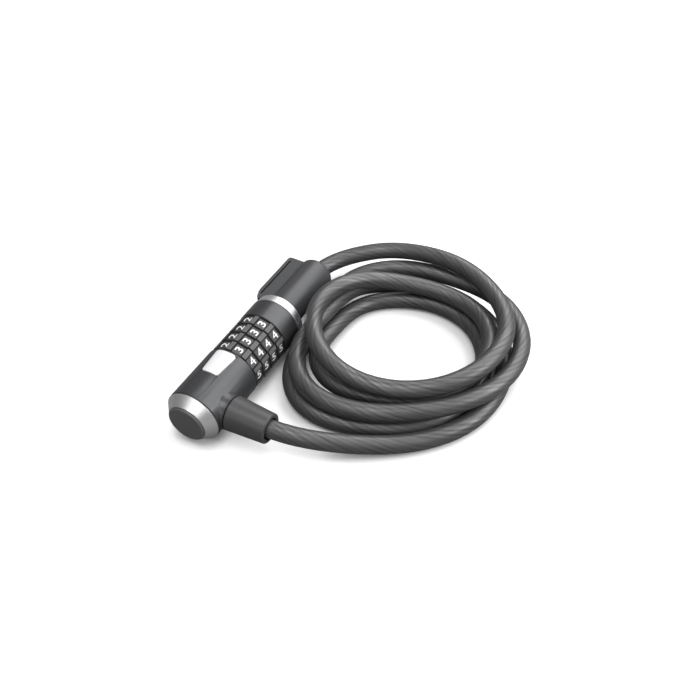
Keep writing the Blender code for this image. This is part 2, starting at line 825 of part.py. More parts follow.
def plug_cross_pin():
    reach = FERRULE_R - GAP
    place = across_place(cross_station())
    profile = solid_rod(CROSS_PIN_R, -reach, reach, CROSS_PIN_R / 5)
    pin = turned("plug_cross_pin", profile, PLUG, PIN_FACETS, place, closed=False)
    return paint(pin, STEEL, 1.0, 0.3)


def plug_ferrule():
    """Steel ferrule crimped on the cable, with a socket for the pin."""
    start = PLUG_START + GAP
    rod = solid_rod(FERRULE_R, start, FERRULE_END, FERRULE_EDGE)
    ferrule = turned("plug_ferrule", rod, PLUG, SMALL_FACETS, closed=False)
    socket_end = start + PIN_IN_FERRULE + GAP
    socket = rod_cutter("pin_socket", CORE_BORE_R, start - THROUGH, socket_end, PLUG, SMALL_FACETS)
    cut(ferrule, socket)
    cut(ferrule, cross_hole("ferrule_cross_hole"))
    return paint(ferrule, STEEL, 1.0, 0.4)


def plug_bush():
    start = COLLAR_START
    end = PLUG_START
    bush = turned("plug_bush", ring_profile(CORE_BORE_R, FERRULE_R, start, end, EDGE), PLUG, SMALL_FACETS)
    return paint(bush, STEEL, 1.0, 0.35)


def collar_ring():
    """Silver front ring of the barrel; the plug slides through it."""
    end = COLLAR_START + COLLAR_LENGTH
    back = BODY_R - COLLAR_TAPER
    profile = [
        (PLUG_R + GAP, end),
        (back - EDGE, end),
        (back, end - EDGE),
        (BODY_R, COLLAR_START + EDGE),
        (BODY_R - EDGE, COLLAR_START),
        (PLUG_R + GAP, COLLAR_START),
    ]
    collar = turned("collar_ring", profile, LOCK)
    return paint(collar, SILVER, 1.0, 0.25)


def rail_outline():
    """Side view of the rail: x out from the axis, y along the lock."""
    start = PLUG_START
    end = start + RAIL_LENGTH
    flat_end = start + RAIL_FLAT_LENGTH
    nose_out = RAIL_OUT - RAIL_RAMP_DROP
    r = RAIL_NOSE_ROUND
    points = [(RAIL_ROOT, start), (nose_out - r, start)]
    points += [(nose_out - r + r * math.sin(a), start + r - r * math.cos(a)) for a in (0.4, 0.8, 1.2)]
    for i in range(1, 6):
        t = i / 5
        out = nose_out + RAIL_RAMP_DROP * math.sin(t * math.pi / 2)
        points.append((out, start + r + (RAIL_RAMP - r) * t))
    points.append((RAIL_OUT, flat_end - r))
    points.append((RAIL_OUT - 0.3 * r, flat_end - 0.3 * r))
    points.append((RAIL_OUT - r, flat_end))
    points.append((RAIL_ROOT, end))
    return points


def rail():
    """Block for a frame clip, with a groove along each side under its lip."""
    turn = Matrix.Rotation(math.radians(180), 4, "Z")
    upright = Matrix(((1, 0, 0, 0), (0, 0, 1, 0), (0, 1, 0, 0), (0, 0, 0, 1)))
    place = turn @ upright
    block = outline_cutter("rail", rail_outline(), RAIL_WIDTH / 2, PLUG, place)
    groove_out = RAIL_OUT - RAIL_LIP
    start = PLUG_START + RAIL_GROOVE_START
    end = start + RAIL_GROOVE_LENGTH
    floor = RAIL_WIDTH / 2 - RAIL_GROOVE_DEPTH
    grooves = []
    for side in (-1, 1):
        near = floor if side > 0 else -floor - THROUGH
        low = (groove_out - RAIL_GROOVE, near, start)
        high = (groove_out, near + THROUGH, end)
        grooves.append((low, high, turn))
    cut(block, boxes("rail_grooves", grooves, PLUG))
    return block


def plug_sleeve():
    """Moulded sleeve over the ferrule, with the clip rail on its side."""
    step = LENGTH - CABLE_SEAT_IN_PLUG
    r = PLUG_END_ROUND
    profile = [(CABLE_HOLE_R, LENGTH - MOUTH), (CABLE_HOLE_R + MOUTH, LENGTH)]
    profile += arc((PLUG_R - r, LENGTH - r), r, 90, 0, ARC_STEPS)
    profile += [
        (PLUG_R, COLLAR_START + EDGE),
        (PLUG_R - EDGE, COLLAR_START),
        (FERRULE_BORE_R, COLLAR_START),
        (FERRULE_BORE_R, step),
        (CABLE_HOLE_R, step),
    ]
    sleeve = turned("plug_sleeve", profile, PLUG)
    join(sleeve, rail())
    return paint(sleeve, GREY_PAINT, 0.5, 0.42)


# Branch


def branch_sleeve():
    """Tapered sleeve round the cable's anchored end."""
    start = BOSS_END + GAP
    r = BRANCH_LIP
    tip_r = BRANCH_TIP_R
    profile = [(CABLE_HOLE_R, BRANCH_END - MOUTH), (CABLE_HOLE_R + MOUTH, BRANCH_END)]
    profile += arc((tip_r - r, BRANCH_END - r), r, 90, 0, ARC_STEPS)
    profile += [
        (BOSS_R, start),
        (FERRULE_BORE_R, start),
        (FERRULE_BORE_R, BRANCH_SEAT),
        (CABLE_HOLE_R, BRANCH_SEAT),
    ]
    sleeve = turned("branch_sleeve", profile, BRANCH)
    return paint(sleeve, DARK_GREY, 0.3, 0.45)


def branch_ferrule():
    """Steel ferrule crimped on the cable, crossed by the anchor pin inside the shell."""
    rod = solid_rod(FERRULE_R, -FERRULE_TAIL, BRANCH_SEAT - GAP, FERRULE_EDGE)
    ferrule = turned("branch_ferrule", rod, BRANCH, SMALL_FACETS, closed=False)
    reach = FERRULE_R + THROUGH
    place = across_place(0)
    hole = rod_cutter("anchor_hole", ANCHOR_PIN_R + GAP, -reach, reach, BRANCH, PIN_FACETS, place)
    cut(ferrule, hole)
    return paint(ferrule, STEEL, 1.0, 0.4)


def anchor_pin():
    reach = CAVITY_R - 2 * GAP
    profile = solid_rod(ANCHOR_PIN_R, -reach, reach, EDGE)
    pin = turned("anchor_pin", profile, BRANCH, PIN_FACETS, across_place(0), closed=False)
    return paint(pin, STEEL, 1.0, 0.3)


# Cable


def route_stations():
    """Every station of the route, in millimetres from the cap and the lock's axis."""
    stations = list(FROM_BRANCH)
    angle = COIL_FIRST
    for radii, heights in zip(COIL_RADII, COIL_HEIGHTS):
        for radius, height in zip(radii, heights):
            x = COIL_X + radius * math.cos(math.radians(angle))
            y = COIL_STATION + radius * math.sin(math.radians(angle))
            stations.append((x, y, height))
            angle += COIL_STEP
    stations += TO_PLUG
    return [Vector(station) for station in stations]


def on_route(stations, at):
    """Point of a smooth curve steered by the stations, counted from its start."""
    first = min(int(at), len(stations) - 4)
    t = at - first
    weights = (
        (1 - t) ** 3,
        3 * t**3 - 6 * t**2 + 4,
        -3 * t**3 + 3 * t**2 + 3 * t + 1,
        t**3,
    )
    total = Vector((0.0, 0.0, 0.0))
    for weight, station in zip(weights, stations[first : first + 4]):
        total += station * (weight / 6)
    return total


def cable_piece(name, stations, start, end):
    """Round tube along one stretch of the route."""
    step = 360 / COIL_STEP / POINTS_PER_TURN
    count = max(2, round((end - start) / step))
    marks = [start + (end - start) * i / count for i in range(count + 1)]
    if start > 0:
        marks.insert(1, start + SPLIT_STUB)
    else:
        marks.insert(-1, end - SPLIT_STUB)
    origin = Vector((AXIS_X, AXIS_Y, 0.0))
    curve = bpy.data.curves.new(name, "CURVE")
    curve.dimensions = "3D"
    curve.bevel_depth = CABLE_R * MM
    curve.bevel_resolution = 2
    curve.use_fill_caps = True
    spline = curve.splines.new("POLY")
    spline.points.add(len(marks) - 1)
    for mark, target in zip(marks, spline.points):
        place = on_route(stations, mark) + origin
        target.co = (*(place * MM), 1.0)
    obj = add_object(name, curve, None)
    return paint(obj, SMOKE, 0.0, 0.3)


def cable():
    """The cable lies in two pieces: the tail goes with the plug when it is drawn out."""
    stations = route_stations()
    end = len(stations) - 3
    length_of_station = (on_route(stations, TAIL_STATION + 0.5) - on_route(stations, TAIL_STATION)).length
    split = GAP / (2 * length_of_station)
    cable_piece("cable", stations, 0.0, TAIL_STATION)
    cable_piece("cable_tail", stations, TAIL_STATION + split, end)


clear_scene()
PARTS = new_collection("cable_lock")
CUTTERS = new_collection("cutters")
CUTTERS.hide_render = True
LOCK_PLACE = Matrix.Translation(Vector((AXIS_X, AXIS_Y, AXIS_Z)) * MM) @ Matrix.Rotation(
    math.radians(-90), 4, "X"
)
BRANCH_PLACE = Matrix.Translation(
    Vector((AXIS_X, AXIS_Y + BRANCH_STATION, AXIS_Z)) * MM
) @ Matrix.Rotation(math.radians(90), 4, "Y")
LOCK = add_empty("lock_axis", LOCK_PLACE)
PLUG = add_empty("plug_slide", LOCK_PLACE)
BRANCH = add_empty("branch_axis", BRANCH_PLACE)
end_cap()
end_ring()
body_shell()
name_plate()
front_housing()
core_tube()
detent_strip()
dials_and_sleeves()
spacers()
wave_spring()
retaining_clip()
plug_pin()
plug_cross_pin()
plug_ferrule()
plug_bush()
collar_ring()
plug_sleeve()
branch_sleeve()
branch_ferrule()
anchor_pin()
cable()
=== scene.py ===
# %% [markdown]
# # A combination cable lock, lying closed on its own coil
#
# The lock's solids come from the CAD model, in metres, each already in its place. This
# lesson gives them their real finishes, turns the plain cable into a wire rope in a smoky
# sleeve, and prints the digits on the dials. Everything is worked out from the solids'
# own boxes, so a change in the CAD model carries over.

import json
import math

import bmesh
import bpy
from mathutils import Matrix, Vector

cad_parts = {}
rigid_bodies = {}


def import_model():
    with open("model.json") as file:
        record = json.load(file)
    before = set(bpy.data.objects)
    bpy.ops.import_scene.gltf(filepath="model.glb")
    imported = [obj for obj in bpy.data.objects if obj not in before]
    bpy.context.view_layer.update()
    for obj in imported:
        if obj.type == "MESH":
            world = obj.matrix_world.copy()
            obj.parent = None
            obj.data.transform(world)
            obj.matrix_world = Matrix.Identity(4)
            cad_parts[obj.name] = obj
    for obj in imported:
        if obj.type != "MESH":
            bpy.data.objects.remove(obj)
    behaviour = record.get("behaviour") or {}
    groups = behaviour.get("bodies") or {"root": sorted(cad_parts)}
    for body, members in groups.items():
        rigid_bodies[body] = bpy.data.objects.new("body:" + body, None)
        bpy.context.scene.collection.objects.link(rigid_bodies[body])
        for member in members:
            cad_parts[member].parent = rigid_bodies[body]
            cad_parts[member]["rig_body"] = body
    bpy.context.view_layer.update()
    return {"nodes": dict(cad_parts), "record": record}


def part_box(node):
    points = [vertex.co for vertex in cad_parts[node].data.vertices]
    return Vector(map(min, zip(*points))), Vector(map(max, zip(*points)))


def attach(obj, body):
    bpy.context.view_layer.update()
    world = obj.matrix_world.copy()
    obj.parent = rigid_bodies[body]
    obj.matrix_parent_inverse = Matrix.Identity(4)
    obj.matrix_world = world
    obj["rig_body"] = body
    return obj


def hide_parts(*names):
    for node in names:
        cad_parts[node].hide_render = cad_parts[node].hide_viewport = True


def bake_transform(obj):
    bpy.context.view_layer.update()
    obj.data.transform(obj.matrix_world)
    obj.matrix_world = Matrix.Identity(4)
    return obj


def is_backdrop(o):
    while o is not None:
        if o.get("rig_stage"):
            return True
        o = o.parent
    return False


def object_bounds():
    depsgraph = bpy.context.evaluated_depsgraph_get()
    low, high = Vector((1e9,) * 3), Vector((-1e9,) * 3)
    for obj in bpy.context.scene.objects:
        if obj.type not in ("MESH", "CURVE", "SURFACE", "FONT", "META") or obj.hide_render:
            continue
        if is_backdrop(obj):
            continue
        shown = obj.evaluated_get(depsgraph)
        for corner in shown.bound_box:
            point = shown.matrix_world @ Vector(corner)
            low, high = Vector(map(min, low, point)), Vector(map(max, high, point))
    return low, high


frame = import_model()
MM = 0.001

# %% [markdown]
# ## The lock's axis
#
# Nearly every piece of the lock is round about one line, which runs along Y through the
# middle of the silver ring. The branch for the cable stands square to it. Both lines are
# read from the solids.

# %% Find the axis and the branch
ring_low, ring_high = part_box("end_ring")
AXIS = (ring_low + ring_high) / 2
BODY_R = (ring_high.x - ring_low.x) / 2
branch_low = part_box("branch_sleeve")[0]
CAP_FACE_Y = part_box("end_cap")[0].y
print("axis at x", round(AXIS.x / MM, 2), "radius", round(BODY_R / MM, 2))

# %% [markdown]
# ## Camera and studio
#
# The lock is seen from its front right, from well above, with a slightly long lens. A
# camera that looks along a given azimuth and elevation is easiest to set by its three
# directions: right, up and back.

# %% Camera
LOOK_AT = Vector((0.0388, 0.0187, 0.0157))
AZIMUTH = math.radians(28.05)
ELEVATION = math.radians(45.6)
DISTANCE = 0.458
back = Vector(
    (
        math.sin(AZIMUTH) * math.cos(ELEVATION),
        -math.cos(AZIMUTH) * math.cos(ELEVATION),
        math.sin(ELEVATION),
    )
)
right = Vector((math.cos(AZIMUTH), math.sin(AZIMUTH), 0.0))
up = back.cross(right)
camera_data = bpy.data.cameras.new("camera")
camera_data.lens = 42.3
camera_data.sensor_width = 36.0
camera_data.clip_start = 0.01
camera = bpy.data.objects.new("camera", camera_data)
turn = Matrix((right, up, back)).transposed().to_4x4()
camera.matrix_world = Matrix.Translation(LOOK_AT + back * DISTANCE) @ turn
scene = bpy.context.scene
scene.collection.objects.link(camera)
scene.camera = camera
scene.view_settings.view_transform = "Standard"
print("camera at", [round(value, 3) for value in camera.matrix_world.translation])


# %% [markdown]
# ## Small helpers for materials
#
# Every material here is a Principled shader with a few procedural nodes before it. Small
# helpers keep that short: they make a material or a node group, add a node with its
# values, work out a sum or a product, and mix two colours or values by a mask.


# %% Helpers for materials
def new_material(name, colour, metallic=0.0, roughness=0.5):
    material = bpy.data.materials.new(name)
    material.use_nodes = True
    shader = material.node_tree.nodes["Principled BSDF"]
    shader.inputs["Base Color"].default_value = (*colour, 1.0)
    shader.inputs["Metallic"].default_value = metallic
    shader.inputs["Roughness"].default_value = roughness
    return material, material.node_tree, shader


def add_node(tree, kind, **values):
    node = tree.nodes.new(kind)
    for name, value in values.items():
        if name in node.inputs:
            node.inputs[name].default_value = value
        else:
            setattr(node, name.lower(), value)
    return node


def math_node(tree, operation, first, second=0.0, third=0.5, clamp=False):
    node = tree.nodes.new("ShaderNodeMath")
    node.operation = operation
    node.use_clamp = clamp
    for socket, value in zip(node.inputs, (first, second, third)):
        if isinstance(value, (int, float)):
            socket.default_value = value
        else:
            tree.links.new(value, socket)
    return node.outputs[0]


def new_group(name, inputs, outputs):
    """A node group with float inputs and outputs of the given kinds."""
    tree = bpy.data.node_groups.new(name, "ShaderNodeTree")
    for label, default in inputs:
        socket = tree.interface.new_socket(label, in_out="INPUT", socket_type="NodeSocketFloat")
        socket.default_value = default
    for label, kind in outputs:
        tree.interface.new_socket(label, in_out="OUTPUT", socket_type=kind)
    start = tree.nodes.new("NodeGroupInput")
    end = tree.nodes.new("NodeGroupOutput")
    return tree, start, end


def use_group(tree, group, **values):
    node = tree.nodes.new("ShaderNodeGroup")
    node.node_tree = group
    for name, value in values.items():
        node.inputs[name.replace("_", " ")].default_value = value
    return node


def mix_value(tree, factor, first, second):
    node = tree.nodes.new("ShaderNodeMix")
    tree.links.new(factor, node.inputs["Factor"])
    node.inputs["A"].default_value = first
    node.inputs["B"].default_value = second
    return node.outputs["Result"]


def mix_colour(tree, factor, first, second):
    node = tree.nodes.new("ShaderNodeMix")
    node.data_type = "RGBA"
    tree.links.new(factor, node.inputs["Factor"])
    node.inputs["A"].default_value = (*first, 1.0)
    node.inputs["B"].default_value = (*second, 1.0)
    return node.outputs["Result"]


# %% [markdown]
# ## Floor, world and lamps
#
# A white sweep is lit so that it just reaches white, and the camera sees the world as plain white
# too. Mirrored rays see a fifth of that white, so the silver shows its surroundings. Everything
# else sees a darker floor and a dim world. So the undersides stay deep, and the form is drawn by
# four soft lamps: one behind, one on the right, one above and a weak one in front. The floor's own
# glow fades out where the cable lies close over it. This is painted shade on the floor, and it
# keeps narrow gaps between two turns dark.

# %% Studio
WORLD_FILL = 0.01
MIRRORED_WHITE = 0.2
FLOOR_GLOW = 0.36
FLOOR_BOUNCE = 0.06
FLOOR_WHITE = 0.86
FADE_START = 0.22
FADE_RATE = 1.8
CONTACT_REACH = 0.007
world = bpy.data.worlds.new("studio")
scene.world = world
world.use_nodes = True
world_tree = world.node_tree
background = world_tree.nodes["Background"]
rays = world_tree.nodes.new("ShaderNodeLightPath")
straight = rays.outputs["Is Camera Ray"]
seen = math_node(world_tree, "MAXIMUM", straight, rays.outputs["Is Transmission Ray"])
mirrored_sky = math_node(world_tree, "MULTIPLY", rays.outputs["Is Glossy Ray"], MIRRORED_WHITE)
seen = math_node(world_tree, "MAXIMUM", seen, mirrored_sky)
strength = math_node(world_tree, "MULTIPLY_ADD", seen, 1.0 - WORLD_FILL, WORLD_FILL)
world_tree.links.new(strength, background.inputs["Strength"])
background.inputs["Color"].default_value = (1.0, 1.0, 1.0, 1.0)

floor_mesh = bpy.data.meshes.new("floor")
sheet = bmesh.new()
bmesh.ops.create_grid(sheet, x_segments=1, y_segments=1, size=3.0)
sheet.to_mesh(floor_mesh)
sheet.free()
floor = bpy.data.objects.new("floor", floor_mesh)
scene.collection.objects.link(floor)
floor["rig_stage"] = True
floor_material, floor_tree, floor_shader = new_material("white_sweep", (0.8, 0.8, 0.8), 0.0, 0.9)
floor_rays = floor_tree.nodes.new("ShaderNodeLightPath")
mirrored = math_node(floor_tree, "MULTIPLY", floor_rays.outputs["Is Glossy Ray"], MIRRORED_WHITE)
whole = math_node(floor_tree, "MAXIMUM", floor_rays.outputs["Is Camera Ray"], mirrored)
paper = mix_colour(floor_tree, whole, (FLOOR_BOUNCE,) * 3, (FLOOR_WHITE,) * 3)
floor_tree.links.new(paper, floor_shader.inputs["Base Color"])
floor_place = floor_tree.nodes.new("ShaderNodeTexCoord")
far = floor_tree.nodes.new("ShaderNodeVectorMath")
far.operation = "LENGTH"
floor_tree.links.new(floor_place.outputs["Object"], far.inputs[0])
fading = math_node(floor_tree, "SUBTRACT", far.outputs["Value"], FADE_START, clamp=True)
whiter = math_node(floor_tree, "MULTIPLY_ADD", fading, FADE_RATE, FLOOR_GLOW)
# Painted shade: ambient occlusion cuts the floor's camera-only glow where the cable lies close over
# it.
contact = add_node(floor_tree, "ShaderNodeAmbientOcclusion", Distance=CONTACT_REACH)
contact.samples = 8
open_floor = math_node(floor_tree, "MULTIPLY", contact.outputs["AO"], contact.outputs["AO"])
whiter = math_node(floor_tree, "MULTIPLY", whiter, open_floor)
glow = math_node(floor_tree, "MULTIPLY", floor_rays.outputs["Is Camera Ray"], whiter)
floor_tree.links.new(glow, floor_shader.inputs["Emission Strength"])
floor_shader.inputs["Emission Color"].default_value = (1.0, 1.0, 1.0, 1.0)
floor.data.materials.append(floor_material)


def softbox(name, azimuth, elevation, distance, width, height, power):
    """An oblong lamp that faces the middle of the coil."""
    a, e = math.radians(azimuth), math.radians(elevation)
    away = Vector((math.sin(a) * math.cos(e), -math.cos(a) * math.cos(e), math.sin(e)))
    data = bpy.data.lights.new(name, "AREA")
    data.shape = "RECTANGLE"
    data.size = width
    data.size_y = height
    data.energy = power
    lamp = bpy.data.objects.new(name, data)
    lamp.location = LOOK_AT + away * distance
    lamp.rotation_euler = away.to_track_quat("Z", "Y").to_euler()
    scene.collection.objects.link(lamp)
    return lamp


softbox("back_softbox", 168, 46, 0.9, 1.05, 0.6, 7.4)
softbox("right_softbox", 102, 32, 0.85, 0.5, 0.5, 4.8)
softbox("top_softbox", -10, 74, 0.9, 0.6, 0.5, 4.2)
softbox("front_card", 6, 34, 0.95, 0.95, 0.28, 2.0)
print("lamps:", [light.name for light in bpy.data.lights])


# %% [markdown]
# ## The cable's route
#
# The cable is one strand from the branch, round the coil nearly five times, and back to
# the plug. It is steered by stations: each turn of the coil has twelve, given by their
# distance from the coil's centre and their height. A smooth curve is drawn between them
# with the B-spline weights, which never overshoot, so no bend gets tighter than the
# cable can take. The stations were worked out beforehand: a first route was relaxed until
# its turns lay clear of each other and of the lock.

# %% Stations of the route
CABLE_R = 5.0
COIL_X = 74.0
COIL_STATION = 107.0
COIL_FIRST = 300
COIL_STEP = 30
COIL_RADII = (
    (64.0, 61.2, 58.3, 59.5, 60.7, 61.4, 61.1, 59.2, 50.9, 64.2, 68.8, 59.3),
    (51.6, 53.5, 61.5, 69.6, 71.6, 66.1, 70.2, 73.9, 53.7, 67.1, 74.3, 60.6),
    (53.2, 50.0, 46.2, 46.9, 49.3, 49.8, 49.4, 51.6, 45.9, 53.8, 51.5, 41.1),
    (41.2, 42.9, 45.9, 50.2, 52.4, 50.3, 50.7, 54.1, 56.8, 54.3, 49.1, 43.7),
    (42.2, 45.5, 51.1, 58.8, 62.0, 67.4, 78.1),
)
COIL_HEIGHTS = (
    (4.7, 5.2, 5.0, 5.1, 5.5, 4.6, 6.7, 14.5, 16.5, 15.6, 14.7, 15.3),
    (15.4, 15.5, 15.3, 15.1, 15.2, 14.1, 15.1, 8.8, 4.3, 5.6, 5.1, 5.0),
    (5.1, 5.0, 5.0, 5.1, 5.0, 5.0, 5.2, 4.7, 7.6, 9.0, 9.7, 9.8),
    (10.8, 13.6, 16.2, 15.9, 15.3, 15.2, 17.1, 24.9, 27.4, 25.5, 22.6, 21.1),
    (21.6, 23.9, 25.5, 25.5, 26.0, 27.5, 20.7),
)
FROM_BRANCH = (
    (27.0, 18.2, 15.7),
    (33.0, 18.2, 15.7),
    (39.0, 18.2, 15.7),
    (46.0, 19.2, 15.2),
    (54.3, 21.5, 13.9),
    (65.1, 26.1, 11.7),
    (81.4, 35.5, 7.8),
)
TO_PLUG = (
    (17.4, 163.8, 17.9),
    (8.9, 155.5, 16.8),
    (4.0, 148.4, 16.2),
    (1.3, 142.0, 15.8),
    (0.0, 136.0, 15.7),
    (0.0, 130.5, 15.7),
    (0.0, 125.0, 15.7),
)
TAIL_STATION = 58.0


def route_stations():
    """Every station in the row frame, in metres."""
    corner = Vector((AXIS.x, CAP_FACE_Y, 0.0))
    stations = [Vector(station) for station in FROM_BRANCH]
    angle = math.radians(COIL_FIRST)
    for radii, heights in zip(COIL_RADII, COIL_HEIGHTS):
        for radius, height in zip(radii, heights):
            x = COIL_X + radius * math.cos(angle)
            y = COIL_STATION + radius * math.sin(angle)
            stations.append(Vector((x, y, height)))
            angle += math.radians(COIL_STEP)
    stations += [Vector(station) for station in TO_PLUG]
    return [corner + station * MM for station in stations]


def on_route(stations, at):
    """Point of the smooth curve, counted in stations from its start."""
    first = min(int(at), len(stations) - 4)
    t = at - first
    weights = ((1 - t) ** 3, 3 * t**3 - 6 * t**2 + 4, -3 * t**3 + 3 * t**2 + 3 * t + 1, t**3)
    total = Vector((0.0, 0.0, 0.0))
    for weight, station in zip(weights, stations[first : first + 4]):
        total += station * (weight / 6)
    return total


# %% [markdown]
# ## Points at even steps
#
# The stations are not evenly spaced along the cable, but the wire rope's twist is. So the
# curve is first sampled very finely, and then walked along in steps of equal length.


# %% Walk along the route
FINE_STEPS = 6000


def even_points(stations, start, end, step):
    span = end - start
    fine = [on_route(stations, start + span * i / FINE_STEPS) for i in range(FINE_STEPS + 1)]
    lengths = [0.0]
    for a, b in zip(fine, fine[1:]):
        lengths.append(lengths[-1] + (b - a).length)
    count = round(lengths[-1] / step)
    points = []
    near = 0
    for i in range(count + 1):
        goal = lengths[-1] * i / count
        while near < len(fine) - 2 and lengths[near + 1] < goal:
            near += 1
        share = (goal - lengths[near]) / (lengths[near + 1] - lengths[near])
        points.append(fine[near].lerp(fine[near + 1], share))
    return points, lengths[-1]


stations = route_stations()
ROUTE_END = len(stations) - 3
STRAND_STEP = 1.25 * MM
coil_points, coil_length = even_points(stations, 0.0, TAIL_STATION, STRAND_STEP)
tail_points, tail_length = even_points(stations, TAIL_STATION, ROUTE_END, STRAND_STEP)
print("cable length in mm:", round((coil_length + tail_length) / MM))


# %% [markdown]
# ## A tube with a twist
#
# The sleeve is clear enough to show the rope of twelve strands inside. Its surface follows
# the strands very slightly, so the tube is lofted in code: at each point of the route sits
# a ring of vertices, turned as little as possible from the one before, with the strands'
# ripple added to its radius. The strands wind the right-hand way, one turn in 80 mm. The
# same twist is kept in the UV map, for the material.

# %% Loft the tube
STRANDS = 12
LAY_LENGTH = 80 * MM
RIPPLE = 0.04 * MM
RING_POINTS = 48


def ring_frames(points):
    """A pair of directions across the cable at each point, carried along without twist."""
    frames = []
    across = None
    for i, point in enumerate(points):
        ahead = points[min(i + 1, len(points) - 1)]
        behind = points[max(i - 1, 0)]
        along = (ahead - behind).normalized()
        if across is None:
            across = along.cross(Vector((0, 0, 1))).normalized()
        across = (across - along * across.dot(along)).normalized()
        frames.append((across.copy(), along.cross(across)))
    return frames


def rope_tube(name, points, frames, first_length):
    work = bmesh.new()
    rings = []
    for i, (point, (side, over)) in enumerate(zip(points, frames)):
        ring = []
        turns = (first_length + i * STRAND_STEP) / LAY_LENGTH
        for k in range(RING_POINTS):
            share = k / RING_POINTS
            wave = math.cos(math.tau * STRANDS * (share - turns))
            radius = CABLE_R * MM - RIPPLE * (1 - wave) / 2
            angle = math.tau * share
            offset = side * math.cos(angle) + over * math.sin(angle)
            ring.append(work.verts.new(point + offset * radius))
        rings.append(ring)
    uv = work.loops.layers.uv.new("along_and_round")
    for i, (ring, following) in enumerate(zip(rings, rings[1:])):
        for k in range(RING_POINTS):
            n = (k + 1) % RING_POINTS
            face = work.faces.new((ring[k], ring[n], following[n], following[k]))
            corners = ((i, k), (i, k + 1), (i + 1, k + 1), (i + 1, k))
            for loop, (row, column) in zip(face.loops, corners):
                length = first_length + row * STRAND_STEP
                loop[uv].uv = (length / LAY_LENGTH, column / RING_POINTS)
    work.faces.new(list(reversed(rings[0])))
    work.faces.new(rings[-1])
    mesh = bpy.data.meshes.new(name)
    work.to_mesh(mesh)
    work.free()
    mesh.shade_smooth()
    mesh.set_sharp_from_angle(angle=math.radians(60))
    obj = bpy.data.objects.new(name, mesh)
    scene.collection.objects.link(obj)
    return obj


all_points = coil_points + tail_points[1:]
all_frames = ring_frames(all_points)
seam = len(coil_points) - 1
coil = rope_tube("cable_coil", coil_points, all_frames[: seam + 1], 0.0)
tail = rope_tube("cable_end", tail_points, all_frames[seam:], seam * STRAND_STEP)
print("tube faces:", len(coil.data.polygons) + len(tail.data.polygons))

# %% [markdown]
# ## Smoky sleeve over wire
#
# Looking through the sleeve, the crowns of the strands read as soft pale bands and the
# grooves between them as dark ones. A cosine across the twisted UV map gives that band.
# A little noise along the strands stands for the single wires. The grooves are duller as
# well as darker. The outer gloss is a coat, which stays smooth over it all.

# %% Group for the strands
WIRES_ALONG = 3.0
WIRES_ACROSS = 1.7
GROOVE_LEVEL = 0.34
strand_group, strand_in, strand_out = new_group(
    "Wire Strands",
    [("Strands", STRANDS), ("Softness", 0.5), ("Contrast", 0.5), ("Wire Noise", 0.25)],
    [("Band", "NodeSocketFloat")],
)
uv_node = strand_group.nodes.new("ShaderNodeUVMap")
uv_node.uv_map = "along_and_round"
split = strand_group.nodes.new("ShaderNodeSeparateXYZ")
strand_group.links.new(uv_node.outputs[0], split.inputs[0])
phase = math_node(strand_group, "SUBTRACT", split.outputs["Y"], split.outputs["X"])
turns = math_node(strand_group, "MULTIPLY", phase, strand_in.outputs["Strands"])
wave = math_node(strand_group, "COSINE", math_node(strand_group, "MULTIPLY", turns, math.tau))
band = math_node(strand_group, "MULTIPLY_ADD", wave, 0.5, 0.5)
along = math_node(strand_group, "MULTIPLY", split.outputs["X"], WIRES_ALONG)
stretch = strand_group.nodes.new("ShaderNodeCombineXYZ")
around = math_node(strand_group, "MULTIPLY", turns, WIRES_ACROSS)
strand_group.links.new(around, stretch.inputs["X"])
strand_group.links.new(along, stretch.inputs["Y"])
wires = add_node(strand_group, "ShaderNodeTexNoise", Scale=1.0, Detail=3.0, Roughness=0.6)
strand_group.links.new(stretch.outputs[0], wires.inputs["Vector"])
centred = math_node(strand_group, "SUBTRACT", wires.outputs["Fac"], 0.5)
spread = math_node(strand_group, "MULTIPLY", centred, strand_in.outputs["Wire Noise"])
shaped = math_node(strand_group, "POWER", band, strand_in.outputs["Softness"])
contrast = strand_in.outputs["Contrast"]
faint = math_node(strand_group, "MULTIPLY_ADD", shaped, contrast, GROOVE_LEVEL)
total = math_node(strand_group, "ADD", faint, spread, clamp=True)
strand_group.links.new(total, strand_out.inputs["Band"])
print("strand nodes:", len(strand_group.nodes))

# %% Sleeve material
sleeve_material, tree, shader = new_material("smoky_vinyl_over_wire", (0.05, 0.05, 0.053))
strands = use_group(tree, strand_group, Softness=0.8, Contrast=0.26, Wire_Noise=1.7)
colour = mix_colour(tree, strands.outputs["Band"], (0.0, 0.0, 0.0005), (0.084, 0.084, 0.087))
tree.links.new(colour, shader.inputs["Base Color"])
dull = mix_value(tree, strands.outputs["Band"], 0.80, 0.30)
tree.links.new(dull, shader.inputs["Roughness"])
shader.inputs["Specular IOR Level"].default_value = 0.8
shader.inputs["Coat Weight"].default_value = 0.5
shader.inputs["Coat Roughness"].default_value = 0.32
for piece in (coil, tail):
    piece.data.materials.append(sleeve_material)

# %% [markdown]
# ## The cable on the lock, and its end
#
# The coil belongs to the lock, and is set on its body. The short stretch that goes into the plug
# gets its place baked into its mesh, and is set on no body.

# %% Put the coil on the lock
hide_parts("cable")
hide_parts("cable_tail")
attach(coil, "lock")
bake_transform(tail)
print("coil and end in mm:", round(coil_length / MM), round(tail_length / MM))

# %% [markdown]
# ## Soft edges on the solids
#
# The CAD solids have crisp edges, and real mouldings and castings don't: light catches
# every rounded edge. Each visible solid is copied, its doubled corners are welded, flat
# neighbours are merged, and a narrow bevel rounds what is still sharp. The copy then
# stands for the solid, on the same body.


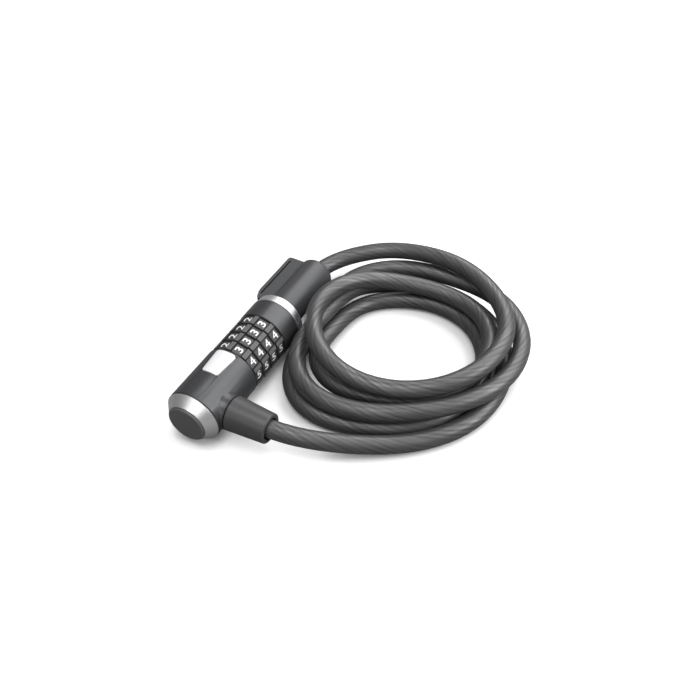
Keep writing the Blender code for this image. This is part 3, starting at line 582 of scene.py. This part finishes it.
# %% Dress a solid
def dressed(node, name, width=0.25, sharp=30):
    source = frame["nodes"][node]
    work = bmesh.new()
    work.from_mesh(source.data)
    bmesh.ops.remove_doubles(work, verts=work.verts, dist=0.00001)
    bmesh.ops.dissolve_limit(
        work, angle_limit=math.radians(0.5), verts=work.verts, edges=work.edges
    )
    mesh = bpy.data.meshes.new(name)
    work.to_mesh(mesh)
    work.free()
    mesh.materials.clear()
    mesh.shade_smooth()
    mesh.set_sharp_from_angle(angle=math.radians(sharp))
    obj = bpy.data.objects.new(name, mesh)
    scene.collection.objects.link(obj)
    if width > 0:
        bevel = obj.modifiers.new("soft_edges", "BEVEL")
        bevel.width = width * MM
        bevel.segments = 2
        bevel.limit_method = "ANGLE"
        bevel.angle_limit = math.radians(sharp)
        bevel.harden_normals = True
        bevel.use_clamp_overlap = True
    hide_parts(node)
    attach(obj, source["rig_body"])
    return obj


# %% [markdown]
# ## Finishes shared by several pieces
#
# Two effects turn up on many pieces. Moulded and painted faces have a fine grain that
# breaks up the gloss. Turned metal has tight rings about the lock's axis, left by the
# cutting tool, which stretch each highlight sideways.

# %% Group for the fine grain
grain_group, grain_in, grain_out = new_group(
    "Fine Grain",
    [("Scale", 900.0), ("Low Roughness", 0.35), ("High Roughness", 0.5), ("Bump", 0.2)],
    [("Mask", "NodeSocketFloat"), ("Roughness", "NodeSocketFloat"), ("Normal", "NodeSocketVector")],
)
place = grain_group.nodes.new("ShaderNodeTexCoord")
speck = add_node(grain_group, "ShaderNodeTexNoise", Detail=4.0, Roughness=0.6)
grain_group.links.new(place.outputs["Object"], speck.inputs["Vector"])
grain_group.links.new(grain_in.outputs["Scale"], speck.inputs["Scale"])
smudge = add_node(grain_group, "ShaderNodeTexNoise", Scale=55.0, Detail=3.0)
grain_group.links.new(place.outputs["Object"], smudge.inputs["Vector"])
blend_value = grain_group.nodes.new("ShaderNodeMix")
grain_group.links.new(smudge.outputs["Fac"], blend_value.inputs["Factor"])
grain_group.links.new(grain_in.outputs["Low Roughness"], blend_value.inputs["A"])
grain_group.links.new(grain_in.outputs["High Roughness"], blend_value.inputs["B"])
bump = add_node(grain_group, "ShaderNodeBump", Distance=0.00003)
grain_group.links.new(speck.outputs["Fac"], bump.inputs["Height"])
grain_group.links.new(grain_in.outputs["Bump"], bump.inputs["Strength"])
grain_group.links.new(speck.outputs["Fac"], grain_out.inputs["Mask"])
grain_group.links.new(blend_value.outputs["Result"], grain_out.inputs["Roughness"])
grain_group.links.new(bump.outputs["Normal"], grain_out.inputs["Normal"])

# %% Group for turned metal
turned_group, turned_in, turned_out = new_group(
    "Turned Rings",
    [("Scale", 5000.0), ("Low Roughness", 0.2), ("High Roughness", 0.4), ("Bump", 0.25)],
    [("Mask", "NodeSocketFloat"), ("Roughness", "NodeSocketFloat"), ("Normal", "NodeSocketVector")],
)
place = turned_group.nodes.new("ShaderNodeTexCoord")
axes = turned_group.nodes.new("ShaderNodeSeparateXYZ")
turned_group.links.new(place.outputs["Object"], axes.inputs[0])
rings = turned_group.nodes.new("ShaderNodeTexNoise")
rings.noise_dimensions = "1D"
rings.inputs["Detail"].default_value = 2.0
turned_group.links.new(axes.outputs["Y"], rings.inputs["W"])
turned_group.links.new(turned_in.outputs["Scale"], rings.inputs["Scale"])
blend_value = turned_group.nodes.new("ShaderNodeMix")
turned_group.links.new(rings.outputs["Fac"], blend_value.inputs["Factor"])
turned_group.links.new(turned_in.outputs["Low Roughness"], blend_value.inputs["A"])
turned_group.links.new(turned_in.outputs["High Roughness"], blend_value.inputs["B"])
bump = add_node(turned_group, "ShaderNodeBump", Distance=0.00002)
turned_group.links.new(rings.outputs["Fac"], bump.inputs["Height"])
turned_group.links.new(turned_in.outputs["Bump"], bump.inputs["Strength"])
turned_group.links.new(rings.outputs["Fac"], turned_out.inputs["Mask"])
turned_group.links.new(blend_value.outputs["Result"], turned_out.inputs["Roughness"])
turned_group.links.new(bump.outputs["Normal"], turned_out.inputs["Normal"])


# %% Materials of the lock
def finish_with(name, group, dark, light, metallic, coat=0.0, **values):
    """A material whose colour and roughness follow one of the shared groups."""
    material, tree, shader = new_material(name, light, metallic)
    node = use_group(tree, group, **values)
    tree.links.new(mix_colour(tree, node.outputs["Mask"], dark, light), shader.inputs["Base Color"])
    tree.links.new(node.outputs["Roughness"], shader.inputs["Roughness"])
    tree.links.new(node.outputs["Normal"], shader.inputs["Normal"])
    shader.inputs["Coat Weight"].default_value = coat
    shader.inputs["Coat Roughness"].default_value = 0.25
    return material


grey_paint = finish_with(
    "grey_metallic_paint", grain_group, (0.046, 0.047, 0.050), (0.072, 0.073, 0.077), 0.45,
    coat=0.25, Scale=2500.0, Low_Roughness=0.36, High_Roughness=0.42, Bump=0.2,
)
grey_moulding = finish_with(
    "grey_moulding", grain_group, (0.045, 0.046, 0.049), (0.065, 0.066, 0.070), 0.0,
    Scale=1800.0, Low_Roughness=0.36, High_Roughness=0.44, Bump=0.5,
)
# Painted light: the cap's grey is written about twice as light as the other mouldings, so that its
# face, which the lamps leave in shade, looks lit.
cap_moulding = finish_with(
    "cap_moulding", grain_group, (0.110, 0.110, 0.114), (0.145, 0.145, 0.150), 0.0,
    Scale=1800.0, Low_Roughness=0.34, High_Roughness=0.44, Bump=0.4,
)
branch_rubber = finish_with(
    "dark_moulding", grain_group, (0.050, 0.050, 0.052), (0.074, 0.074, 0.077), 0.0,
    Scale=1800.0, Low_Roughness=0.36, High_Roughness=0.46, Bump=0.4,
)
silver = finish_with(
    "turned_silver", turned_group, (0.76, 0.76, 0.77), (0.88, 0.88, 0.89), 1.0,
    Scale=9000.0, Low_Roughness=0.34, High_Roughness=0.44, Bump=0.12,
)
steel = finish_with(
    "turned_steel", turned_group, (0.42, 0.42, 0.43), (0.62, 0.62, 0.63), 1.0,
    Low_Roughness=0.22, High_Roughness=0.4, Bump=0.3,
)
brass = finish_with(
    "turned_brass", turned_group, (0.52, 0.36, 0.13), (0.70, 0.52, 0.22), 1.0,
    Low_Roughness=0.25, High_Roughness=0.4, Bump=0.3,
)
plate_white = finish_with(
    "plate_satin", grain_group, (0.80, 0.80, 0.81), (0.88, 0.88, 0.89), 0.1,
    Scale=1500.0, Low_Roughness=0.36, High_Roughness=0.44, Bump=0.15,
)

# %% [markdown]
# ## Painted shade in seams
#
# A narrow joint or groove lies in shade and reads as a black line, so that shade is painted into
# the colour there. A group gives 1 within a band along one axis and 0 outside it. Up to three bands
# multiplied together make a box, and inside that box a material turns black and dull: painted
# shade.

# %% Group for a seam
seam_group, seam_in, seam_out = new_group(
    "Seam Shade",
    [("Place", 0.0), ("Middle", 0.0), ("Half Width", 0.001), ("Sharpness", 8000.0)],
    [("Shade", "NodeSocketFloat")],
)
beside = math_node(seam_group, "SUBTRACT", seam_in.outputs["Place"], seam_in.outputs["Middle"])
off = math_node(seam_group, "ABSOLUTE", beside)
inside = math_node(seam_group, "SUBTRACT", seam_in.outputs["Half Width"], off)
shade = math_node(seam_group, "MULTIPLY", inside, seam_in.outputs["Sharpness"], clamp=True)
seam_group.links.new(shade, seam_out.inputs["Shade"])


def shade_seam(material, bands):
    """Paint shade on a material inside a box given by bands: axis, low end and high end."""
    tree = material.node_tree
    shader = tree.nodes["Principled BSDF"]
    place = tree.nodes.new("ShaderNodeTexCoord")
    axes = tree.nodes.new("ShaderNodeSeparateXYZ")
    tree.links.new(place.outputs["Object"], axes.inputs[0])
    mask = None
    for axis, low, high in bands:
        band = use_group(tree, seam_group, Middle=(low + high) / 2, Half_Width=(high - low) / 2)
        tree.links.new(axes.outputs[axis], band.inputs["Place"])
        shade = band.outputs["Shade"]
        mask = shade if mask is None else math_node(tree, "MULTIPLY", mask, shade)
    # Painted shade: inside the box the colour goes nearly black.
    colour = mix_colour(tree, mask, (0.0, 0.0, 0.0), (0.002, 0.002, 0.002))
    tree.links.new(shader.inputs["Base Color"].links[0].from_socket, colour.node.inputs["A"])
    tree.links.new(colour, shader.inputs["Base Color"])
    dull = mix_value(tree, mask, 0.5, 1.0)
    tree.links.new(shader.inputs["Roughness"].links[0].from_socket, dull.node.inputs["A"])
    tree.links.new(dull, shader.inputs["Roughness"])


# %% Shade the branch's joint and the rail's groove
plug_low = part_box("plug_sleeve")[0]
JOINT_INSIDE = 1 * MM
JOINT_OUTSIDE = 0.55 * MM
GROOVE_OUTER = 17.75 * MM
GROOVE_FLOOR = 16.4 * MM
GROOVE_FRONT = 12 * MM
GROOVE_BACK = 46.5 * MM
GROOVE_HALF = 4.93 * MM
# Painted shade in the joint between boss and branch, and along the rail's groove.
shade_seam(branch_rubber, [("X", branch_low.x - JOINT_INSIDE, branch_low.x + JOINT_OUTSIDE)])
shade_seam(
    grey_moulding,
    [
        ("X", AXIS.x - GROOVE_OUTER, AXIS.x - GROOVE_FLOOR),
        ("Y", plug_low.y + GROOVE_FRONT, plug_low.y + GROOVE_BACK),
        ("Z", AXIS.z - GROOVE_HALF, AXIS.z + GROOVE_HALF),
    ],
)
print("shaded:", branch_rubber.name, grey_moulding.name)

# %% [markdown]
# ## Blocks and windows of the dials
#
# A dial is one moulding with two finishes. The blocks that a thumb pushes are scuffed grey and
# carry fine ribs along the lock; the windows between them are darker. Both are told apart by their
# distance from the axis. Painted shade lies on the rims between two dials, where the colour fades
# to black, a little narrower on one side and on the blocks. The windows' sides and the gaps between
# the ribs are darker too.

# %% Group for the dial faces
ZERO_ANGLE = 184.2
BLOCK_EDGE = 8000.0
RIM_EDGE = 24.0
RIM_KEPT_BACK = 0.06
SIDE_EDGE = -45.0
SIDE_LEVEL = 2.0
RIB_DARKENING = 0.16
dial_low, dial_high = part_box("dial_1")
next_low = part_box("dial_2")[0]
DIAL_PITCH = next_low.y - dial_low.y
dial_group, dial_in, dial_out = new_group(
    "Dial Faces",
    [
        ("Axis X", AXIS.x),
        ("Axis Z", AXIS.z),
        ("Block Radius", BODY_R - 0.35 * MM),
        ("Ribs", 110.0),
        ("First Middle", (dial_low.y + dial_high.y) / 2),
        ("Pitch", DIAL_PITCH),
        ("Rim Start", 0.335),
        ("First Angle", math.radians(ZERO_ANGLE)),
        ("Window Half", 12.0 / 36),
    ],
    [("Block", "NodeSocketFloat"), ("Rib", "NodeSocketFloat"), ("Shade And Dark Lines", "NodeSocketFloat")],
)
place = dial_group.nodes.new("ShaderNodeTexCoord")
axes = dial_group.nodes.new("ShaderNodeSeparateXYZ")
dial_group.links.new(place.outputs["Object"], axes.inputs[0])
across = math_node(dial_group, "SUBTRACT", axes.outputs["X"], dial_in.outputs["Axis X"])
height = math_node(dial_group, "SUBTRACT", axes.outputs["Z"], dial_in.outputs["Axis Z"])
across_squared = math_node(dial_group, "POWER", across, 2.0)
height_squared = math_node(dial_group, "POWER", height, 2.0)
radius = math_node(dial_group, "SQRT", math_node(dial_group, "ADD", across_squared, height_squared))
above = math_node(dial_group, "SUBTRACT", radius, dial_in.outputs["Block Radius"])
block = math_node(dial_group, "MULTIPLY", above, BLOCK_EDGE, clamp=True)
angle = math_node(dial_group, "ARCTAN2", height, across)
rib_turns = math_node(dial_group, "MULTIPLY", angle, dial_in.outputs["Ribs"])
ribs = math_node(dial_group, "COSINE", rib_turns)
from_middle = math_node(dial_group, "SUBTRACT", axes.outputs["Y"], dial_in.outputs["First Middle"])
share = math_node(dial_group, "DIVIDE", from_middle, dial_in.outputs["Pitch"])
beside = math_node(dial_group, "SUBTRACT", share, math_node(dial_group, "ROUND", share))
off_middle = math_node(dial_group, "ABSOLUTE", beside)
# Painted shade: from Rim Start on, the colour fades to black towards each dial's ends; it starts a
# little later on one side and on the blocks.
past = math_node(dial_group, "SUBTRACT", off_middle, dial_in.outputs["Rim Start"])
narrow = math_node(dial_group, "LESS_THAN", beside, 0.0)
narrower = math_node(dial_group, "MAXIMUM", narrow, block)
kept_back = math_node(dial_group, "MULTIPLY", narrower, RIM_KEPT_BACK)
reach = math_node(dial_group, "SUBTRACT", past, kept_back)
rim = math_node(dial_group, "MULTIPLY", reach, RIM_EDGE, clamp=True)
dial_group.links.new(block, dial_out.inputs["Block"])
dial_group.links.new(math_node(dial_group, "MULTIPLY", ribs, block), dial_out.inputs["Rib"])
# Darker lines along each window's sides.
from_zero = math_node(dial_group, "SUBTRACT", angle, dial_in.outputs["First Angle"])
sector = math_node(dial_group, "MULTIPLY", from_zero, 10 / math.tau)
off_sector = math_node(dial_group, "SUBTRACT", sector, math_node(dial_group, "ROUND", sector))
off_window = math_node(dial_group, "ABSOLUTE", off_sector)
from_side = math_node(dial_group, "SUBTRACT", off_window, dial_in.outputs["Window Half"])
off_side = math_node(dial_group, "ABSOLUTE", from_side)
side = math_node(dial_group, "MULTIPLY_ADD", off_side, SIDE_EDGE, SIDE_LEVEL, clamp=True)
# A little darker between the ribs.
between = math_node(dial_group, "SUBTRACT", 1.0, ribs)
between = math_node(dial_group, "MULTIPLY", between, RIB_DARKENING)
darker_between_ribs = math_node(dial_group, "MULTIPLY", between, block)
shade_and_dark_lines = math_node(dial_group, "MAXIMUM", rim, math_node(dial_group, "MAXIMUM", side, darker_between_ribs))
dial_group.links.new(shade_and_dark_lines, dial_out.inputs["Shade And Dark Lines"])
print("dial pitch in mm:", round(DIAL_PITCH / MM, 2))

# %% Dial material
dial_moulding, tree, shader = new_material("dial_moulding", (0.05, 0.05, 0.052), 0.0, 0.4)
faces = use_group(tree, dial_group)
grain = use_group(
    tree, grain_group, Scale=1800.0, Low_Roughness=0.34, High_Roughness=0.44, Bump=0.3
)
face_colour = mix_colour(tree, faces.outputs["Block"], (0.046, 0.046, 0.048), (0.125, 0.126, 0.130))
# Painted shade at the rims, with the darker lines, fades the dial's colour towards black.
fade = mix_colour(tree, faces.outputs["Shade And Dark Lines"], (0.0, 0.0, 0.0), (0.002, 0.002, 0.002))
tree.links.new(face_colour, fade.node.inputs["A"])
tree.links.new(fade, shader.inputs["Base Color"])
dull = mix_value(tree, faces.outputs["Shade And Dark Lines"], 0.4, 1.0)
tree.links.new(grain.outputs["Roughness"], dull.node.inputs["A"])
tree.links.new(dull, shader.inputs["Roughness"])
rib_bump = add_node(tree, "ShaderNodeBump", Strength=0.6, Distance=0.00012)
tree.links.new(faces.outputs["Rib"], rib_bump.inputs["Height"])
tree.links.new(grain.outputs["Normal"], rib_bump.inputs["Normal"])
tree.links.new(rib_bump.outputs["Normal"], shader.inputs["Normal"])

# %% [markdown]
# ## The lock's outside
#
# Each visible solid now gets its copy, its finish and the width of its rounded edges, in
# millimetres. Turned metal keeps a crisp edge, and the moulded cap has the roundest.

# %% Dress the outside of the lock
OUTSIDE = (
    ("end_cap", "cap_skin", cap_moulding, 0.35),
    ("end_ring", "cone_ring_skin", silver, 0.12),
    ("body_shell", "shell_skin", grey_paint, 0.2),
    ("name_plate", "plate_skin", plate_white, 0.15),
    ("front_housing", "housing_skin", grey_paint, 0.15),
    ("collar_ring", "collar_skin", silver, 0.12),
    ("plug_sleeve", "plug_skin", grey_moulding, 0.3),
    ("branch_sleeve", "branch_skin", branch_rubber, 0.15),
    ("dial_1", "dial_1_skin", dial_moulding, 0.22),
    ("dial_2", "dial_2_skin", dial_moulding, 0.22),
    ("dial_3", "dial_3_skin", dial_moulding, 0.22),
    ("dial_4", "dial_4_skin", dial_moulding, 0.22),
)
for node, name, material, width in OUTSIDE:
    piece = dressed(node, name, width)
    piece.data.materials.append(material)
print("dressed", len(OUTSIDE), "solids")

# %% [markdown]
# ## The rail's ends
#
# The rail on the plug's side runs right to the plug's end and starts a little behind the
# silver ring. The copy's corners there are moved along the lock, and only those that lie
# outside the plug's round part. The ramp at the front is stretched in proportion, and the
# groove's far end moves a little less than the rail's. All places are in millimetres, out
# from the lock's axis or along from the plug sleeve's front.

# %% Shape the rail's ends
RAIL_ROOT = 9.2
RAIL_ROOT_END = 9.23
RAIL_SIDE = 13
RAIL_EDGE = 4.9
RAIL_START = 6
RAMP_END = 16
GROOVE_END = 41
RAIL_END = 42.2
ROOT_END = 47
START_SHIFT = 2.4
GROOVE_SHIFT = 4.2
END_SHIFT = 5.2
NEW_ROOT_END = 49.2
moved = 0
for vertex in bpy.data.objects["plug_skin"].data.vertices:
    out = (AXIS.x - vertex.co.x) / MM
    along = (vertex.co.y - plug_low.y) / MM
    off_axis = abs(vertex.co.z - AXIS.z) / MM
    new_along = along
    if out > RAIL_ROOT and abs(along - RAIL_START) < 0.1:
        new_along = along + START_SHIFT
    elif out > RAIL_SIDE and along < RAMP_END:
        new_along = along + START_SHIFT * (RAMP_END - along) / (RAMP_END - RAIL_START)
    elif out > RAIL_SIDE and along > RAIL_END:
        new_along = along + END_SHIFT
    elif out > RAIL_SIDE and along > GROOVE_END:
        new_along = along + GROOVE_SHIFT
    elif RAIL_ROOT < out < RAIL_ROOT_END and along > ROOT_END and off_axis > RAIL_EDGE:
        new_along = NEW_ROOT_END
    moved += new_along != along
    vertex.co.y = plug_low.y + new_along * MM
print("corners moved:", moved)

# %% [markdown]
# ## The inner pieces
#
# The pin, the core, the code sleeves and the rest show only when the plug is drawn out or
# the lock is taken apart. They stay as the CAD model has them, and get a turned brass or
# steel finish by the material that their record names.

# %% Finish the inner pieces
INNER = {"brass": brass, "steel": steel}
finished = 0
for node, obj in frame["nodes"].items():
    slot_name = next(s["material_slot"] for s in frame["record"]["subparts"] if s["node"] == node)
    if slot_name in INNER:
        obj.data.materials.clear()
        obj.data.materials.append(INNER[slot_name])
        obj.data.shade_smooth()
        obj.data.set_sharp_from_angle(angle=math.radians(30))
        finished += 1
print("inner pieces:", finished)

# %% [markdown]
# ## Digits on the dials
#
# Each dial has ten flat windows, 36 degrees apart, with one white digit in each. The
# digits are printed so that they read along the lock, and each next one stands 36 degrees
# further down. A text object gives the outline; its mesh is set on the window with a
# matrix made of three directions: along the lock, round the dial, and outwards.

# %% Make the ten digits
DIGIT_HEIGHT = 4.6 * MM
DIGIT_THICKNESS = 0.06 * MM
DIGIT_WIDEN = 1.2
EXTRUDE = 0.01
WINDOW_R = 14.9 * MM
WINDOWS = 10


def digit_mesh(text):
    curve = bpy.data.curves.new("digit_" + text, "FONT")
    curve.body = text
    curve.size = 1.0
    curve.offset = 0.0 if text == "4" else 0.012
    curve.extrude = EXTRUDE
    obj = bpy.data.objects.new("digit_" + text, curve)
    scene.collection.objects.link(obj)
    bpy.context.view_layer.update()
    evaluated = obj.evaluated_get(bpy.context.evaluated_depsgraph_get())
    mesh = bpy.data.meshes.new_from_object(evaluated)
    bpy.data.objects.remove(obj)
    xs = [v.co.x for v in mesh.vertices]
    ys = [v.co.y for v in mesh.vertices]
    scale = DIGIT_HEIGHT / (max(ys) - min(ys))
    centre = Matrix.Translation((-(max(xs) + min(xs)) / 2, -(max(ys) + min(ys)) / 2, 0))
    size = Matrix.Diagonal((scale * DIGIT_WIDEN, scale, DIGIT_THICKNESS / (2 * EXTRUDE), 1))
    mesh.transform(size @ centre)
    return mesh


digits = [digit_mesh(str(number)) for number in range(WINDOWS)]
print("digit meshes:", len(digits))


# %% Set the digits on each dial
def window_place(angle, station, radius):
    a = math.radians(angle)
    reading = Vector((0, 1, 0))
    tops = Vector((-math.sin(a), 0, math.cos(a)))
    outwards = Vector((math.cos(a), 0, math.sin(a)))
    turn = Matrix((reading, tops, outwards)).transposed().to_4x4()
    spot = Vector((AXIS.x, station, AXIS.z)) + outwards * radius
    return Matrix.Translation(spot) @ turn


digit_paint, tree, shader = new_material("white_digit_paint", (0.90, 0.90, 0.90), 0.0, 0.45)
for number in range(1, 5):
    low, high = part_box("dial_%d" % number)
    station = (low.y + high.y) / 2
    work = bmesh.new()
    for digit, mesh in enumerate(digits):
        placed = mesh.copy()
        angle = ZERO_ANGLE - 360 / WINDOWS * digit
        placed.transform(window_place(angle, station, WINDOW_R + DIGIT_THICKNESS / 2))
        work.from_mesh(placed)
        bpy.data.meshes.remove(placed)
    mesh = bpy.data.meshes.new("digits")
    work.to_mesh(mesh)
    work.free()
    mesh.materials.clear()
    mesh.materials.append(digit_paint)
    ring = bpy.data.objects.new("dial_%d_digits" % number, mesh)
    scene.collection.objects.link(ring)
    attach(ring, "dial_%d_set" % number)
print("digit faces on a dial:", len(mesh.polygons))

# %% [markdown]
# ## The dressed lock's box
#
# The size of the dressed lock's box is printed, in millimetres. The dressed lock has
# to stay in the CAD model's box.

# %% Print the box's size
low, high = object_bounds()
print("visual box in mm:", [round(side / MM, 1) for side in Vector(high) - Vector(low)])
